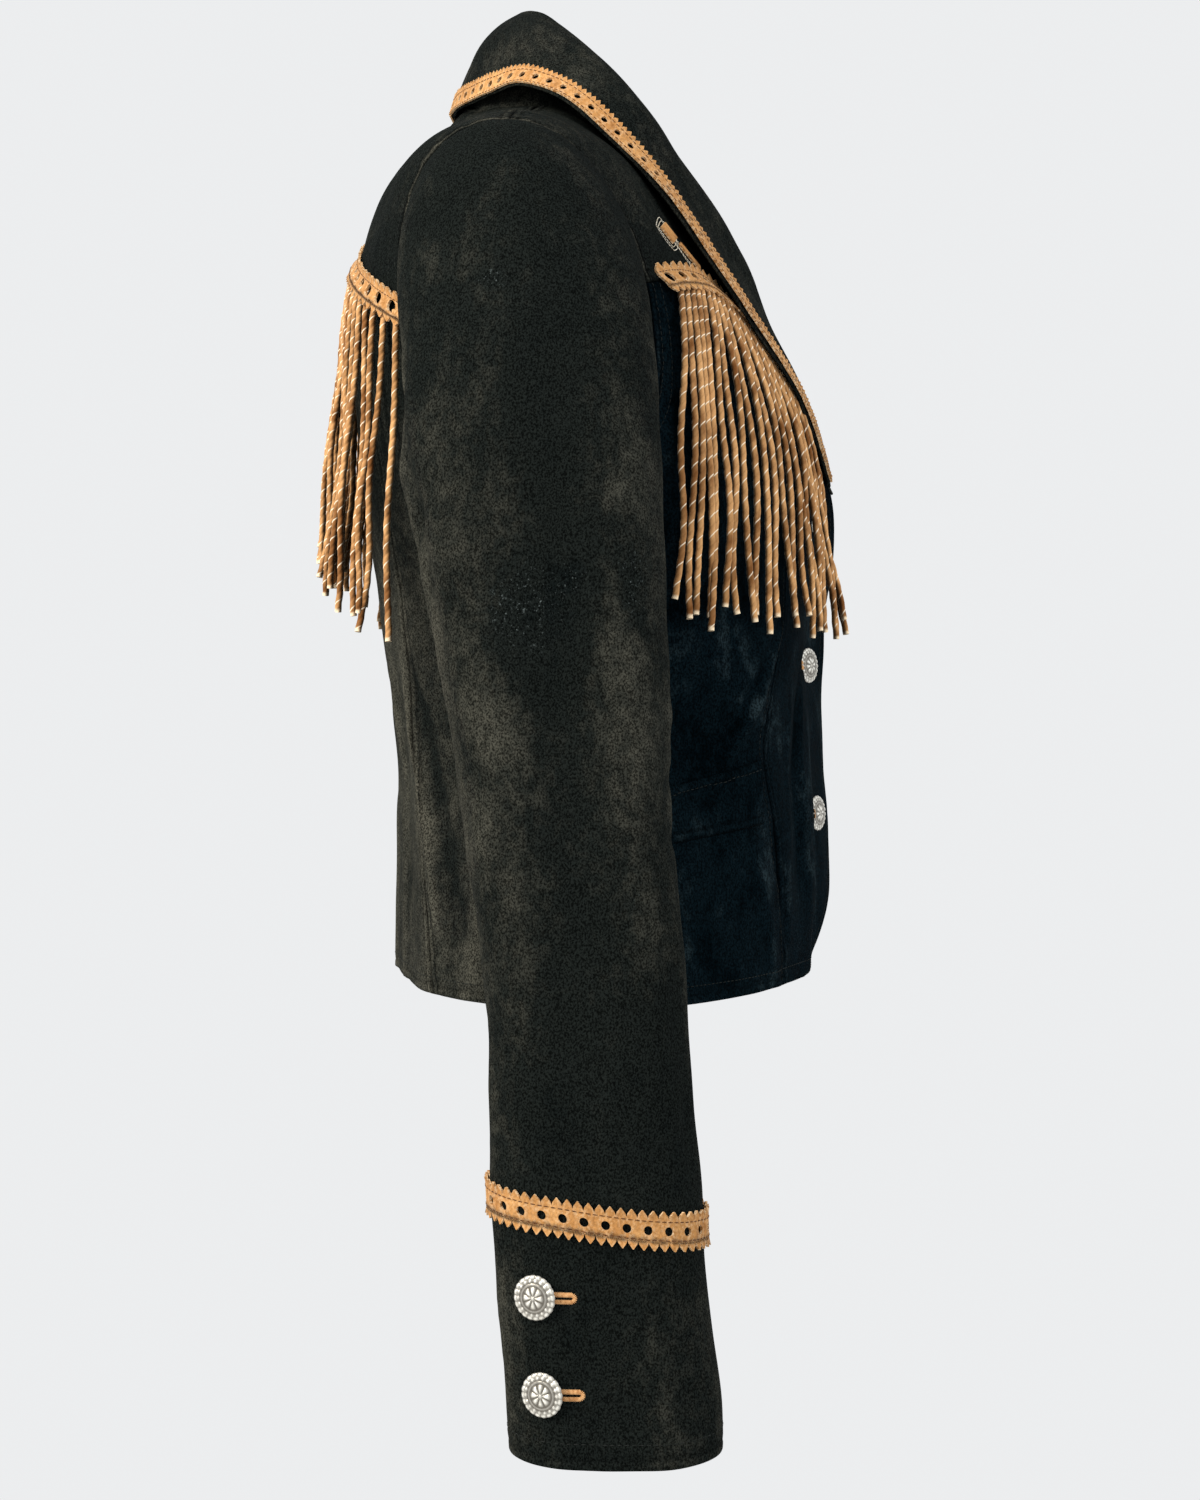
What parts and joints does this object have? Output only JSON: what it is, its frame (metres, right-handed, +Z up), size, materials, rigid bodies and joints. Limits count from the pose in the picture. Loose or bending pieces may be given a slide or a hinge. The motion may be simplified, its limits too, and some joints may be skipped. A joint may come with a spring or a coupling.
{
  "type": "suede jacket",
  "caption": "Short collared jacket in dark suede with a shawl collar, pinked tan bands, cord fringe along the front and back yokes, domed metal buttons and buttoned cuffs.",
  "frame": {"origin": "middle of the neck opening, at the height where the shoulder seams meet the neck", "axes": "+Z up along the wearer's spine, -Y the way the wearer faces, +X to the wearer's left"},
  "size_m": [0.565, 0.2939, 0.728],
  "materials": {
    "black_suede": "napped suede, matt",
    "tan_suede": "napped suede, matt",
    "button_silver": "antiqued silver"
  },
  "bodies": {
    "root": {"back": "black_suede", "back_yoke": "black_suede", "collar": "black_suede", "front_left": "black_suede", "front_right": "black_suede", "front_yoke_left": "black_suede", "front_yoke_right": "black_suede", "side_front_left": "black_suede", "side_front_right": "black_suede", "side_back_left": "black_suede", "side_back_right": "black_suede", "over_sleeve_left": "black_suede", "over_sleeve_right": "black_suede", "under_sleeve_left": "black_suede", "under_sleeve_right": "black_suede", "pocket_welt_left": "black_suede", "pocket_welt_right": "black_suede", "back_band": "tan_suede", "back_fringe": "tan_suede", "collar_band_left": "tan_suede", "collar_band_right": "tan_suede", "cuff_band_left": "tan_suede", "cuff_band_right": "tan_suede", "front_band_left": "tan_suede", "front_band_right": "tan_suede", "front_fringe_left": "tan_suede", "front_fringe_right": "tan_suede", "inlay_lozenge_left": "tan_suede", "inlay_lozenge_right": "tan_suede", "inlay_bar_left": "tan_suede", "inlay_bar_right": "tan_suede", "front_button_top": "button_silver", "front_button_middle": "button_silver", "front_button_bottom": "button_silver", "cuff_button_upper_left": "button_silver", "cuff_button_upper_right": "button_silver", "cuff_button_lower_left": "button_silver", "cuff_button_lower_right": "button_silver"}
  },
  "joints": []
}
